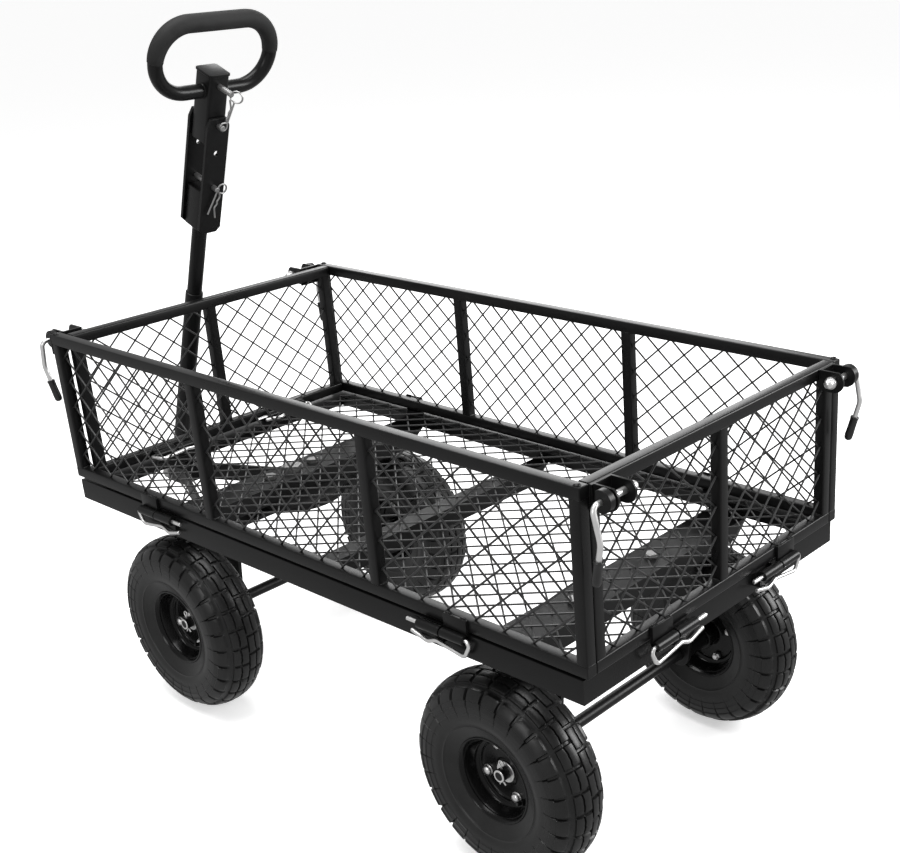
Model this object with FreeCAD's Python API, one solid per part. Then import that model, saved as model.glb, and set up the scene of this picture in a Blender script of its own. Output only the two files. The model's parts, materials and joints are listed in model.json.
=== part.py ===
import FreeCAD, Part
import math
import os

# Steel garden cart with four fold-down mesh sides, a steered front axle and a
# pull handle. Millimetres, +X forward, +Y left, +Z up, wheels on z = 0.

V = FreeCAD.Vector
X, Y, Z = V(1, 0, 0), V(0, 1, 0), V(0, 0, 1)

# ---- driving dimensions ----
BED_X = -58.25         # bed centre, so that the whole cart is centred on x = 0
BED_HALF_L = 480.0
BED_HALF_W = 245.0
RAIL_TOP = 326.0       # top of the angle-iron bed rails
RAIL_H = 30.0
RAIL_W = 25.0
RAIL_T = 2.5
TUBE = 15.0            # square tube of the side frames
TUBE_WALL = 1.2
SIDE_HALF_L = 486.5
SIDE_BOTTOM = 329.0
SIDE_TOP = 543.0
GATE_HALF_W = 229.0
FRONT_GATE_X = 470.0   # outer face of the front gate
WIRE = 2.6             # mesh wire
CELL_L = 41.0          # diamond along a side
CELL_H = 36.0          # diamond across a side

AXLE_X = 320.0         # rear axle behind, front axle ahead of the bed centre
FRONT_AXLE_X = 309.0
AXLE_Z = 130.0         # also the tyre's outer radius
AXLE_R = 8.0
WHEEL_Y = 205.0
TYRE_HALF_W = 42.5
BEAD_R = 50.0
FLANGE_W = 24.0        # where the rim's flange meets the tyre, from the wheel's middle
BOLT_CIRCLE = 35.0
HUB_IN = 26.0
HUB_OUT = 3.5
PIN_Y = 216.5          # split pin through the axle's end
LEG_Y = 128.0          # inner face of the axle bracket's legs
LEG_T = 6.0
BEAM_TOP = RAIL_TOP - RAIL_H
BEAM_H = 26.0
BEAM_W = 60.0
MID_BEAM_W = 30.0
PLATE_T = 6.0
FLOOR_X0 = -463.0      # the floor mesh lies on the rails' flanges
FLOOR_X1 = 441.0       # the front flange is wider and also carries the gate's hinges
FRONT_FLANGE = 44.0
TURNTABLE_R = 75.0
BOLT_R = 5.0
KINGPIN_R = 10.0
GAP = 0.2              # between faces that turn on each other
RUN = 0.05             # radial clearance of a running fit

HINGE_R = 6.0          # barrel
PIN_R = 2.5            # hairpin wire
HINGE_OUT = 7.0        # barrel axis beyond the side's outer face
HINGE_Z = 322.0
HINGE_MID_X = 278.0    # middle of a side's hinge
HINGE_MID_Y = 104.0    # middle of the rear gate's hinge
BARREL = 37.0          # length of one barrel

LATCH_X = 506.0        # spindle of the corner latches
LATCH_Z = 530.0
LEVER_Y = 249.0
ROD_R = 4.0
LEVER_R = 3.2
CAM_R = 12.5
EAR_R = 14.0
DISC_W = 1.5           # outer face of the rim's disc

PIVOT_X = 620.5        # handle hinge on the tongue
PIVOT_Z = 228.0
LEAN = 21.5            # the parked handle leans back over the bed
EYE_R = 16.0
SHAFT_R = 13.0
UPPER_R = 11.0
STEP_H = 344.0         # heights along the handle, from its hinge
PLATE_LOW = 457.0
PLATE_HIGH = 637.0
HEAD_PIVOT = 626.0
TOW_HOLE = 584.0
LOCK_HOLE = 531.0
HEAD_LOW = 597.0
CAP_TOP = 699.0
HITCH_PIN = 681.5
LOOP_LOW = 670.0
LOOP_HIGH = 767.5
LOOP_FLAT = 44.5       # half length of the loop's straight runs
LOOP_R = 10.0
GRIP_R = 12.6

# levels that follow from the above
BEAM_LOW = BEAM_TOP - BEAM_H
TABLE_LOW = BEAM_LOW - PLATE_T         # underside of the upper turntable plate
LOWER_TOP = TABLE_LOW - GAP            # top of the lower turntable plate
BRACKET_TOP = LOWER_TOP - PLATE_T
FRAME_BOLTS = [V(FRONT_AXLE_X, 40, TABLE_LOW), V(FRONT_AXLE_X, -40, TABLE_LOW),
               V(-AXLE_X, 75, TABLE_LOW), V(-AXLE_X, -75, TABLE_LOW)]

os.makedirs("parts", exist_ok=True)


# ---- helpers ----
def save(name, solids):
    """Write one node: a solid, or a group of solids."""
    shape = solids if isinstance(solids, Part.Shape) else Part.makeCompound(solids)
    shape = shape.copy()
    shape.translate(V(BED_X, 0, 0))
    shape.exportStep("parts/" + name + ".step")


def box(x0, x1, y0, y1, z0, z1):
    lo = V(min(x0, x1), min(y0, y1), min(z0, z1))
    return Part.makeBox(abs(x1 - x0), abs(y1 - y0), abs(z1 - z0), lo)


def rod(a, b, r):
    return Part.makeCylinder(r, (b - a).Length, a, b - a)


def tube(a, b, r_out, r_in):
    return rod(a, b, r_out).cut(rod(a, b, r_in))


def fuse(solids):
    return solids[0].multiFuse(solids[1:]).removeSplitter()


def mirror_y(shape):
    return shape.mirror(V(0, 0, 0), Y)


def mirror_x(shape):
    return shape.mirror(V(0, 0, 0), X)


def prism(points, direction):
    """A flat outline pushed along a direction."""
    return Part.Face(Part.makePolygon(points + points[:1])).extrude(direction)


def rounded_path(points, radii):
    """A polyline whose corners are replaced by arcs of the given radii."""
    edges = []
    start = points[0]
    for i, r in enumerate(radii):
        p = points[i + 1]
        u = (points[i] - p).normalize()
        v = (points[i + 2] - p).normalize()
        half = math.acos(max(-1.0, min(1.0, u.dot(v)))) / 2
        reach = r / math.tan(half)
        a = p + u * reach
        b = p + v * reach
        mid = p + (u + v).normalize() * (r / math.sin(half) - r)
        edges.append(Part.makeLine(start, a))
        edges.append(Part.Arc(a, mid, b).toShape())
        start = b
    edges.append(Part.makeLine(start, points[-1]))
    return Part.Wire(edges)


def bent_rod(points, radii, r):
    path = rounded_path(points, radii)
    disc = Part.Wire(Part.makeCircle(r, points[0], points[1] - points[0]))
    return path.makePipeShell([disc], True, True)


def square_tube(a, b, side):
    """Hollow square tube between two corner points that differ along one axis."""
    length = b - a
    size = [abs(c) if abs(c) > 0.01 else side for c in length]
    outer = Part.makeBox(size[0], size[1], size[2], a)
    inset = V(*[0 if abs(c) > 0.01 else TUBE_WALL for c in length])
    inner_size = [s if abs(c) > 0.01 else s - 2 * TUBE_WALL for s, c in zip(size, length)]
    return outer.cut(Part.makeBox(inner_size[0], inner_size[1], inner_size[2], a + inset))


def diamond_plate(origin, along, up, length, height, thick):
    """A mesh bay as a plate with a diamond hole in each cell of the weave."""
    def at(s, t):
        return origin + along * s + up * t
    edge = Part.makePolygon([at(0, 0), at(length, 0), at(length, height), at(0, height), at(0, 0)])
    columns = max(1, round(length / CELL_L))
    rows = max(1, round(height / CELL_H))
    cell_l = length / columns
    cell_h = height / rows
    half_l = cell_l / 2 - WIRE
    half_h = cell_h / 2 - WIRE
    holes = []
    for i in range(2 * columns - 1):
        for j in range(2 * rows - 1):
            if (i + j) % 2:
                continue
            s = (i + 1) * cell_l / 2
            t = (j + 1) * cell_h / 2
            ring = [at(s - half_l, t), at(s, t - half_h), at(s + half_l, t), at(s, t + half_h)]
            holes.append(Part.makePolygon(ring + ring[:1]))
    return Part.Face([edge] + holes).extrude(along.cross(up) * thick)


# ---- bed ----
def bed():
    inner_x = BED_HALF_L - RAIL_W
    inner_y = BED_HALF_W - RAIL_W
    low = RAIL_TOP - RAIL_H
    top = RAIL_TOP - RAIL_T
    sides = []
    for s in (1, -1):
        web = box(-BED_HALF_L, BED_HALF_L, s * BED_HALF_W, s * (BED_HALF_W - RAIL_T), low, RAIL_TOP)
        flange = box(-BED_HALF_L, BED_HALF_L, s * BED_HALF_W, s * inner_y, top, RAIL_TOP)
        sides.append(fuse([web, flange]))
    save("bed_side_rails", sides)
    ends = []
    for s in (1, -1):
        reach = BED_HALF_W - RAIL_T
        web = box(s * BED_HALF_L, s * (BED_HALF_L - RAIL_T), -reach, reach, low, top)
        inner = inner_x if s < 0 else BED_HALF_L - FRONT_FLANGE
        flange = box(s * BED_HALF_L, s * inner, -inner_y, inner_y, top, RAIL_TOP)
        ends.append(fuse([web, flange]))
    save("bed_end_rails", ends)

    beams = []
    for x, wide in ((FRONT_AXLE_X, BEAM_W), (20.0, MID_BEAM_W), (-AXLE_X, BEAM_W)):
        low_z = BEAM_TOP - BEAM_H
        half_top = BED_HALF_W - 1.0
        half_low = BED_HALF_W - 35.0
        outline = [V(x - wide / 2, -half_low, low_z), V(x - wide / 2, half_low, low_z),
                   V(x - wide / 2, half_top, BEAM_TOP), V(x - wide / 2, -half_top, BEAM_TOP)]
        beam = prism(outline, X * wide)
        groove = [V(x - wide / 2 + 3, -half_low + 3, low_z), V(x - wide / 2 + 3, half_low - 3, low_z),
                  V(x - wide / 2 + 3, half_low - 3, BEAM_TOP - 3),
                  V(x - wide / 2 + 3, -half_low + 3, BEAM_TOP - 3)]
        beam = beam.cut(prism(groove, X * (wide - 6)))
        if x == FRONT_AXLE_X:
            beam = beam.cut(rod(V(x, 0, low_z - 1), V(x, 0, BEAM_TOP + 1), KINGPIN_R))
        for centre in FRAME_BOLTS:
            if centre.x == x:
                beam = beam.cut(rod(centre, centre + Z * 40, BOLT_R))
        beams.append(beam)
    save("cross_beams", beams)

    reach_y = BED_HALF_W - RAIL_W + 8.0
    corner = V(FLOOR_X0, -reach_y, RAIL_TOP)
    save("floor_mesh", diamond_plate(corner, X, Y, FLOOR_X1 - FLOOR_X0, 2 * reach_y, WIRE))


def hinge_spots():
    """Every hinge: barrel axis origin, direction from bend to tip, outward, down."""
    spots = []
    y = BED_HALF_W + HINGE_OUT
    for sx in (1, -1):
        for sy in (1, -1):
            spots.append(("side", V(sx * HINGE_MID_X, sy * y, HINGE_Z), X * -sx, Y * sy, -Z))
    x = -(SIDE_HALF_L + HINGE_OUT)
    for sy in (1, -1):
        spots.append(("rear", V(x, sy * HINGE_MID_Y, HINGE_Z), Y * -sy, -X, -Z))
    x = FRONT_GATE_X - TUBE - HINGE_OUT
    for sy in (1, -1):
        spots.append(("front", V(x, sy * HINGE_MID_Y, SIDE_BOTTOM + 5.4), Y * -sy, -X, -X))
    return spots


def block(origin, a, b, c, ra, rb, rc):
    """Box spanned by three perpendicular directions over three ranges."""
    lo = origin + a * ra[0] + b * rb[0] + c * rc[0]
    hi = origin + a * ra[1] + b * rb[1] + c * rc[1]
    return box(lo.x, hi.x, lo.y, hi.y, lo.z, hi.z)


def barrel(origin, along, lo, hi):
    return tube(origin + along * lo, origin + along * hi, HINGE_R, PIN_R + RUN)


def bed_barrel(kind, origin, along, out):
    """The barrel on the bed, on the tip side, with its lug."""
    span = (1.0, BARREL)
    bore = rod(origin - along * 60, origin + along * 60, PIN_R + RUN)
    ring = barrel(origin, along, span[0], span[1])
    if kind == "front":
        low = RAIL_TOP - origin.z
        foot = block(origin, along, X, Z, span, (-4.0, 26.0), (low, low + 2.2))
        neck = block(origin, along, X, Z, span, (-4.0, 4.0), (low, 0))
        return fuse([ring, foot, neck]).cut(bore)
    face = BED_HALF_W if kind == "side" else BED_HALF_L
    depth = abs(origin.dot(out)) - face
    lug = block(origin, along, out, Z, span, (-depth, -3.0), (-16.0, 0.0))
    return fuse([ring, lug]).cut(bore)


def panel_barrel(kind, origin, along, out):
    """The barrel on the side, on the bend side, with its lug."""
    span = (-BARREL, -1.0)
    bore = rod(origin - along * 60, origin + along * 60, PIN_R + RUN)
    ring = barrel(origin, along, span[0], span[1])
    if kind == "front":
        lug = block(origin, along, X, Z, span, (1.0, HINGE_OUT), (0.0, 8.0))
        return fuse([ring, lug]).cut(bore)
    low = block(origin, along, out, Z, span, (-6.5, -3.0), (0.0, 23.0))
    pad = block(origin, along, out, Z, span, (-HINGE_OUT, -3.0), (SIDE_BOTTOM + 1 - HINGE_Z, 23.0))
    return fuse([ring, low, pad]).cut(bore)


def hairpin(origin, along, down):
    """Bent wire: a straight leg through both barrels and a wavy leg below it."""
    shape = [(56, 0), (-46, 0), (-35, 21), (10, 14), (24, 20), (50, 13)]
    points = [origin + along * s + down * t for s, t in shape]
    return bent_rod(points, [5, 7, 12, 12], PIN_R)


def hinges():
    spots = hinge_spots()
    save("bed_hinge_barrels", [bed_barrel(k, o, a, out) for k, o, a, out, d in spots])
    save("hinge_hairpins", [hairpin(o, a, d) for k, o, a, out, d in spots])


# ---- folding sides ----
def side_frame(sign):
    """Long side: two rails, two end posts, two middle posts, two hinge barrels."""
    y0 = BED_HALF_W - TUBE if sign > 0 else -BED_HALF_W
    posts = []
    for x in (-SIDE_HALF_L, -SIDE_HALF_L / 3 - TUBE / 2, SIDE_HALF_L / 3 - TUBE / 2, SIDE_HALF_L - TUBE):
        posts.append(square_tube(V(x, y0, SIDE_BOTTOM + TUBE), V(x, y0, SIDE_TOP - TUBE), TUBE))
    rails = []
    for z in (SIDE_BOTTOM, SIDE_TOP - TUBE):
        rails.append(square_tube(V(-SIDE_HALF_L, y0, z), V(SIDE_HALF_L, y0, z), TUBE))
    barrels = [panel_barrel(k, o, a, out) for k, o, a, out, d in hinge_spots()
               if k == "side" and o.y * sign > 0]
    return rails + posts + barrels


def side_mesh(sign):
    bays = []
    mid = sign * (BED_HALF_W - TUBE / 2) + WIRE / 2
    pitch = 2 * SIDE_HALF_L / 3
    edges = [(-SIDE_HALF_L + TUBE, -pitch / 2 - TUBE / 2), (-pitch / 2 + TUBE / 2, pitch / 2 - TUBE / 2),
             (pitch / 2 + TUBE / 2, SIDE_HALF_L - TUBE)]
    height = SIDE_TOP - SIDE_BOTTOM - 2 * TUBE
    for x0, x1 in edges:
        bays.append(diamond_plate(V(x0, mid, SIDE_BOTTOM + TUBE), X, Z, x1 - x0, height, WIRE))
    return bays


def gate_frame(x0, kind):
    """End gate: two rails, two end posts, a centre post, two hinge barrels."""
    posts = []
    for y in (-GATE_HALF_W, -TUBE / 2, GATE_HALF_W - TUBE):
        posts.append(square_tube(V(x0, y, SIDE_BOTTOM + TUBE), V(x0, y, SIDE_TOP - TUBE), TUBE))
    rails = []
    for z in (SIDE_BOTTOM, SIDE_TOP - TUBE):
        rails.append(square_tube(V(x0, -GATE_HALF_W, z), V(x0, GATE_HALF_W, z), TUBE))
    barrels = [panel_barrel(k, o, a, out) for k, o, a, out, d in hinge_spots() if k == kind]
    return rails + posts + barrels


def gate_mesh(x0):
    bays = []
    mid = x0 + TUBE / 2 - WIRE / 2
    height = SIDE_TOP - SIDE_BOTTOM - 2 * TUBE
    for y0, y1 in ((-GATE_HALF_W + TUBE, -TUBE / 2), (TUBE / 2, GATE_HALF_W - TUBE)):
        bays.append(diamond_plate(V(mid, y0, SIDE_BOTTOM + TUBE), Y, Z, y1 - y0, height, WIRE))
    return bays


def sides():
    for name, sign in (("left", 1), ("right", -1)):
        save(name + "_side_frame", side_frame(sign))
        save(name + "_side_mesh", side_mesh(sign))
    save("rear_gate_frame", gate_frame(-SIDE_HALF_L, "rear"))
    save("rear_gate_mesh", gate_mesh(-SIDE_HALF_L))
    save("front_gate_frame", gate_frame(FRONT_GATE_X - TUBE, "front"))
    save("front_gate_mesh", gate_mesh(FRONT_GATE_X - TUBE))


# ---- corner latches, drawn for the rear left corner ----
def latch_bracket(web_y):
    """Two round ears on a web, with the spindle's bore through both ears."""
    face = -SIDE_HALF_L
    web = box(face - 3, face, 196, web_y, LATCH_Z - 16, LATCH_Z + 12)
    parts = [web]
    for y in (196.0, 223.0):
        ear = box(face - 3, -LATCH_X, y, y + 3, LATCH_Z - EAR_R, LATCH_Z + 12)
        nose = rod(V(-LATCH_X, y, LATCH_Z), V(-LATCH_X, y + 3, LATCH_Z), EAR_R).common(
            box(-LATCH_X - 20, -LATCH_X, y, y + 3, LATCH_Z - EAR_R, LATCH_Z + 12))
        parts += [ear, nose]
    bore = rod(V(-LATCH_X, 190, LATCH_Z), V(-LATCH_X, 230, LATCH_Z), ROD_R + RUN)
    return fuse(parts).cut(bore)


def lever_bends():
    """Middle bend and lower end of the hanging lever."""
    return [V(-LATCH_X - 8, LEVER_Y - 1, LATCH_Z - 38), V(-LATCH_X + 4, LEVER_Y - 6, LATCH_Z - 86)]


def latch_lever():
    """Spindle, nut, D-shaped cam and the hanging lever, as one turning piece."""
    points = [V(-LATCH_X, 200, LATCH_Z), V(-LATCH_X, LEVER_Y, LATCH_Z)] + lever_bends()
    lever = bent_rod(points, [8, 20], LEVER_R)
    spindle = rod(V(-LATCH_X, 188, LATCH_Z), V(-LATCH_X, 236, LATCH_Z), ROD_R)
    cam = rod(V(-LATCH_X, 227, LATCH_Z), V(-LATCH_X, 236, LATCH_Z), CAM_R)
    cam = cam.common(box(-LATCH_X - 20, -LATCH_X + 7, 227, 236, LATCH_Z - 20, LATCH_Z + 20))
    nut = hexagon(V(-LATCH_X, 188, LATCH_Z), Y, 7.5, 7.5)
    return fuse([spindle, lever, cam, nut])


def latch_grip():
    bend, end = lever_bends()
    axis = (end - bend).normalize()
    sleeve = rod(end - axis * 28, end + axis * 3, 5.5)
    return sleeve.cut(latch_lever())


def hexagon(centre, axis, r, height):
    side = X if abs(axis.x) < 0.5 else Z
    other = axis.cross(side)
    points = []
    for i in range(6):
        a = math.radians(60 * i)
        points.append(centre + side * (r * math.cos(a)) + other * (r * math.sin(a)))
    return prism(points, axis * height)


def latches():
    rear = latch_bracket(GATE_HALF_W)
    front = mirror_x(latch_bracket(BED_HALF_W))
    save("rear_latch_brackets", [rear, mirror_y(rear)])
    save("front_left_latch_bracket", front)
    save("front_right_latch_bracket", mirror_y(front))
    lever = latch_lever()
    grip = latch_grip()
    for end, flip in (("rear", lambda s: s), ("front", mirror_x)):
        for side, over in (("left", lambda s: s), ("right", mirror_y)):
            save(end + "_" + side + "_latch_lever", over(flip(lever)))
            save(end + "_" + side + "_latch_grip", over(flip(grip)))


# ---- wheels, drawn on the left side about the wheel's middle plane ----
def revolve(segments, centre):
    wire = Part.Wire(Part.__sortEdges__([s.toShape() if hasattr(s, "toShape") else s for s in segments]))
    return Part.Face(wire).revolve(centre, Y, 360)


def tyre(x):
    c = V(x, WHEEL_Y, AXLE_Z)

    def at(r, w):
        return c + Z * r + Y * w
    half = TYRE_HALF_W
    seat = BEAD_R + 4.1
    lip = FLANGE_W
    edges = [Part.makeLine(at(BEAD_R, 18), at(BEAD_R, lip)),
             Part.makeLine(at(BEAD_R, lip), at(seat, lip)),
             Part.makeLine(at(seat, lip), at(seat, lip + 4)),
             Part.Arc(at(seat, lip + 4), at(90, half), at(119, 36)),
             Part.Arc(at(119, 36), at(AXLE_Z, 0), at(119, -36)),
             Part.Arc(at(119, -36), at(90, -half), at(seat, -lip - 4)),
             Part.makeLine(at(seat, -lip - 4), at(seat, -lip)),
             Part.makeLine(at(seat, -lip), at(BEAD_R, -lip)),
             Part.makeLine(at(BEAD_R, -lip), at(BEAD_R, -18)),
             Part.Arc(at(BEAD_R, -18), at(88, 6 - half), at(112, -30)),
             Part.Arc(at(112, -30), at(AXLE_Z - 8, 0), at(112, 30)),
             Part.Arc(at(112, 30), at(88, half - 6), at(BEAD_R, 18))]
    return revolve(edges, c)


def rim_half(x, s):
    c = V(x, WHEEL_Y, AXLE_Z)
    seat = BEAD_R - 0.05
    lip = FLANGE_W + 0.05
    outline = [(54, lip), (54, lip + 2.5), (50, lip + 2.5), (45, 6), (42, DISC_W), (16, DISC_W), (16, 0), (45, 0),
               (seat, 17), (seat, lip)]
    points = [c + Z * r + Y * (s * w) for r, w in outline]
    half = Part.Face(Part.makePolygon(points + points[:1])).revolve(c, Y, 360)
    return half


def bolt_centres(x):
    out = []
    for i in range(4):
        a = math.radians(70 + 90 * i)
        out.append(V(x + BOLT_CIRCLE * math.cos(a), WHEEL_Y, AXLE_Z + BOLT_CIRCLE * math.sin(a)))
    return out


def wheel(name, x, place):
    save(name + "_tyre", place(tyre(x)))
    c = V(x, WHEEL_Y, AXLE_Z)
    halves = []
    for s in (1, -1):
        half = rim_half(x, s)
        for b in bolt_centres(x):
            half = half.cut(rod(b - Y * 12, b + Y * 12, ROD_R))
        halves.append(half)
    hub = tube(c - Y * HUB_IN, c + Y * HUB_OUT, 16, AXLE_R + RUN)
    save(name + "_rim", [place(s) for s in halves + [hub]])
    bolts = []
    for b in bolt_centres(x):
        head = hexagon(b + Y * DISC_W, Y, 7, 5)
        nut = hexagon(b - Y * (DISC_W + 6), Y, 7, 6)
        bolts.append(place(fuse([head, nut, rod(b - Y * 9.5, b + Y * 6.5, ROD_R)])))
    save(name + "_bolts", bolts)


def axle(x):
    """Rod with a welded collar inboard of each wheel."""
    end = PIN_Y + 5.5
    bar = rod(V(x, -end, AXLE_Z), V(x, end, AXLE_Z), AXLE_R)
    hub_in = WHEEL_Y - HUB_IN - GAP
    collars = []
    for s in (1, -1):
        collars.append(rod(V(x, s * (LEG_Y + LEG_T), AXLE_Z), V(x, s * hub_in, AXLE_Z), AXLE_R + 4))
    bar = fuse([bar] + collars)
    for s in (1, -1):
        bar = bar.cut(rod(V(x, s * PIN_Y, AXLE_Z - 20), V(x, s * PIN_Y, AXLE_Z + 20), 1.6))
    return bar


def axle_retainers(x):
    """A washer and a split pin at each end of the axle."""
    out = []
    hub_out = WHEEL_Y + HUB_OUT + GAP
    for s in (1, -1):
        a = V(x, s * hub_out, AXLE_Z)
        out.append(tube(a, a + Y * (s * 2), 14, AXLE_R))
        pin = rod(V(x, s * PIN_Y, AXLE_Z - 14), V(x, s * PIN_Y, AXLE_Z + 12), 1.6)
        eye = Part.makeTorus(3.5, 1.5, V(x, s * PIN_Y, AXLE_Z + 14), Y)
        out.append(fuse([pin, eye]))
    return out


def axle_bracket(x, top):
    """Inverted U: a top plate and two tapered legs that carry the axle."""
    plate = box(x - 25, x + 25, -(LEG_Y + LEG_T), LEG_Y + LEG_T, top - PLATE_T, top)
    parts = [plate]
    for y in (LEG_Y, -LEG_Y - LEG_T):
        outline = [V(x - 25, y, top - PLATE_T), V(x - 25, y, top - 60), V(x - 17, y, AXLE_Z),
                   V(x + 17, y, AXLE_Z), V(x + 25, y, top - 60), V(x + 25, y, top - PLATE_T)]
        foot = rod(V(x, y, AXLE_Z), V(x, y + LEG_T, AXLE_Z), 17)
        parts += [prism(outline, Y * LEG_T), foot]
    bracket = fuse(parts)
    return bracket.cut(rod(V(x, -150, AXLE_Z), V(x, 150, AXLE_Z), AXLE_R))


# ---- undercarriage ----
def turntable():
    x = FRONT_AXLE_X
    upper = tube(V(x, 0, TABLE_LOW), V(x, 0, BEAM_LOW), TURNTABLE_R, KINGPIN_R)
    for centre in FRAME_BOLTS:
        upper = upper.cut(rod(centre, centre + Z * 40, BOLT_R))
    save("upper_turntable_plate", upper)
    lower = tube(V(x, 0, BRACKET_TOP), V(x, 0, LOWER_TOP), TURNTABLE_R, KINGPIN_R + RUN)
    save("lower_turntable_plate", lower)
    shank_low = BRACKET_TOP - PLATE_T - 14
    pin = rod(V(x, 0, shank_low), V(x, 0, BEAM_TOP), KINGPIN_R)
    head = hexagon(V(x, 0, BEAM_TOP), Z, 16, 9)
    nut = hexagon(V(x, 0, shank_low + 2), Z, 16, 12 - GAP)
    save("kingpin", fuse([pin, head, nut]))
    bolts = []
    for centre in FRAME_BOLTS:
        top = V(centre.x, centre.y, BEAM_TOP)
        bolts.append(fuse([rod(centre, top, BOLT_R), hexagon(top, Z, 9, 6)]))
    save("frame_bolts", bolts)


def steering():
    x = FRONT_AXLE_X
    bracket = axle_bracket(x, BRACKET_TOP)
    bore = rod(V(x, 0, BRACKET_TOP - 20), V(x, 0, BRACKET_TOP + 1), KINGPIN_R + RUN)
    save("front_axle_bracket", bracket.cut(bore))
    save("front_axle", axle(x))
    save("front_axle_retainers", axle_retainers(x))
    rear = axle_bracket(-AXLE_X, BEAM_LOW)
    for centre in FRAME_BOLTS:
        rear = rear.cut(rod(centre, centre + Z * 40, BOLT_R))
    save("rear_axle_bracket", rear)
    save("rear_axle", axle(-AXLE_X))
    save("rear_axle_retainers", axle_retainers(-AXLE_X))
    low = PIVOT_Z - 14
    bore = rod(V(PIVOT_X, -40, PIVOT_Z), V(PIVOT_X, 40, PIVOT_Z), 5)
    for name, s in (("left", 1), ("right", -1)):
        outline = [V(x + 25, s * 134, low), V(x + 25, s * 128, low), V(PIVOT_X - 45, s * 16, low),
                   V(PIVOT_X - 20, s * 16, low), V(PIVOT_X - 20, s * 21, low), V(PIVOT_X - 43, s * 21, low)]
        arm = prism(outline, Z * 28)
        ear = box(PIVOT_X - 20, PIVOT_X, s * 16, s * 21, low, low + 28)
        nose = rod(V(PIVOT_X, s * 16, PIVOT_Z), V(PIVOT_X, s * 21, PIVOT_Z), 14)
        parts = [arm, ear, nose]
        if s > 0:
            parts.append(box(PIVOT_X - 40, PIVOT_X - 34, -16, 16, low, low + 28))
        save("steering_arm_" + name, fuse(parts).cut(bore))
    bolt = rod(V(PIVOT_X, -25, PIVOT_Z), V(PIVOT_X, 21, PIVOT_Z), 5)
    head = hexagon(V(PIVOT_X, 21, PIVOT_Z), Y, 8.5, 6)
    nut = hexagon(V(PIVOT_X, -28, PIVOT_Z), Y, 8.5, 7)
    save("tongue_bolt", fuse([bolt, head, nut]))


# ---- handle, drawn upright over its hinge and then leaned back ----
def lean(shape):
    shape = shape.copy()
    shape.translate(V(PIVOT_X, 0, PIVOT_Z))
    shape.rotate(V(PIVOT_X, 0, PIVOT_Z), Y, -LEAN)
    return shape


def loop_path(low_gap, flat_from):
    """The grip loop's centre line, as edges in the YZ plane."""
    r = (LOOP_HIGH - LOOP_LOW) / 2
    mid = (LOOP_HIGH + LOOP_LOW) / 2
    f = LOOP_FLAT

    def at(y, z):
        return V(0, y, z)
    d = r / math.sqrt(2)
    left_low = [Part.makeLine(at(low_gap, LOOP_LOW), at(f, LOOP_LOW)),
                Part.Arc(at(f, LOOP_LOW), at(f + d, mid - d), at(f + r, mid)).toShape()]
    upper = [Part.Arc(at(f + r, mid), at(f + d, mid + d), at(f, LOOP_HIGH)).toShape(),
             Part.makeLine(at(f, LOOP_HIGH), at(-f, LOOP_HIGH)),
             Part.Arc(at(-f, LOOP_HIGH), at(-f - d, mid + d), at(-f - r, mid)).toShape()]
    right_low = [Part.Arc(at(-f - r, mid), at(-f - d, mid - d), at(-f, LOOP_LOW)).toShape(),
                 Part.makeLine(at(-f, LOOP_LOW), at(-low_gap, LOOP_LOW))]
    return upper if flat_from else left_low + upper + right_low


def pipe(edges, start, direction, r):
    return Part.Wire(edges).makePipeShell([Part.Wire(Part.makeCircle(r, start, direction))], True, True)


def cross_pin(h, front, rear):
    """Pin through the clevis along X with a flat head in front."""
    pin = rod(V(rear, 0, h), V(front, 0, h), 4)
    head = rod(V(front, 0, h), V(front + 3, 0, h), 7)
    pin = fuse([pin, head])
    return pin.cut(rod(V(rear + 4, -10, h), V(rear + 4, 10, h), 1.3))


def pin_clip(h, rear):
    """Spring clip through the pin's cross hole, hanging down behind the plate."""
    x = rear + 4
    points = [V(x, 14, h), V(x, -12, h), V(x - 1, -14, h - 14), V(x - 1, 12, h - 26)]
    return bent_rod(points, [4, 6], 1.3)


def handle():
    eye = tube(V(0, -15.8, 0), V(0, 15.8, 0), EYE_R, 5 + RUN)
    stem = tube(V(0, 0, 0), V(0, 0, STEP_H), SHAFT_R, UPPER_R)
    stem = stem.cut(rod(V(0, -20, 0), V(0, 20, 0), EYE_R - 1))
    save("lower_shaft", lean(fuse([eye, stem])))
    shaft = rod(V(0, 0, STEP_H - 60), V(0, 0, 521), UPPER_R)
    shaft = shaft.cut(rod(V(0, 0, STEP_H - 61), V(0, 0, 520), UPPER_R - 2))
    block_ = box(-18, 18, -15, 15, PLATE_LOW + 2, 521)
    block_ = block_.cut(rod(V(0, 0, PLATE_LOW), V(0, 0, 522), UPPER_R))
    save("upper_shaft", lean(fuse([shaft, block_])))

    plates = []
    for x0 in (18.0, -23.0):
        c = 7.0
        w = 18.3
        outline = [V(x0, -w + c, PLATE_LOW), V(x0, w - c, PLATE_LOW), V(x0, w, PLATE_LOW + c),
                   V(x0, w, PLATE_HIGH - 12), V(x0, w - 5, PLATE_HIGH), V(x0, -w + 5, PLATE_HIGH),
                   V(x0, -w, PLATE_HIGH - 12), V(x0, -w, PLATE_LOW + c)]
        plate = prism(outline, X * 5)
        for h in (HEAD_PIVOT, TOW_HOLE, LOCK_HOLE):
            plate = plate.cut(rod(V(x0 - 1, 0, h), V(x0 + 6, 0, h), 4))
        plates.append(lean(plate))
    save("clevis_plates", plates)
    save("clevis_pins", [lean(cross_pin(h, 23, -33)) for h in (HEAD_PIVOT, LOCK_HOLE)])
    save("pin_clips", [lean(pin_clip(h, -33)) for h in (HEAD_PIVOT, LOCK_HOLE)])


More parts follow.
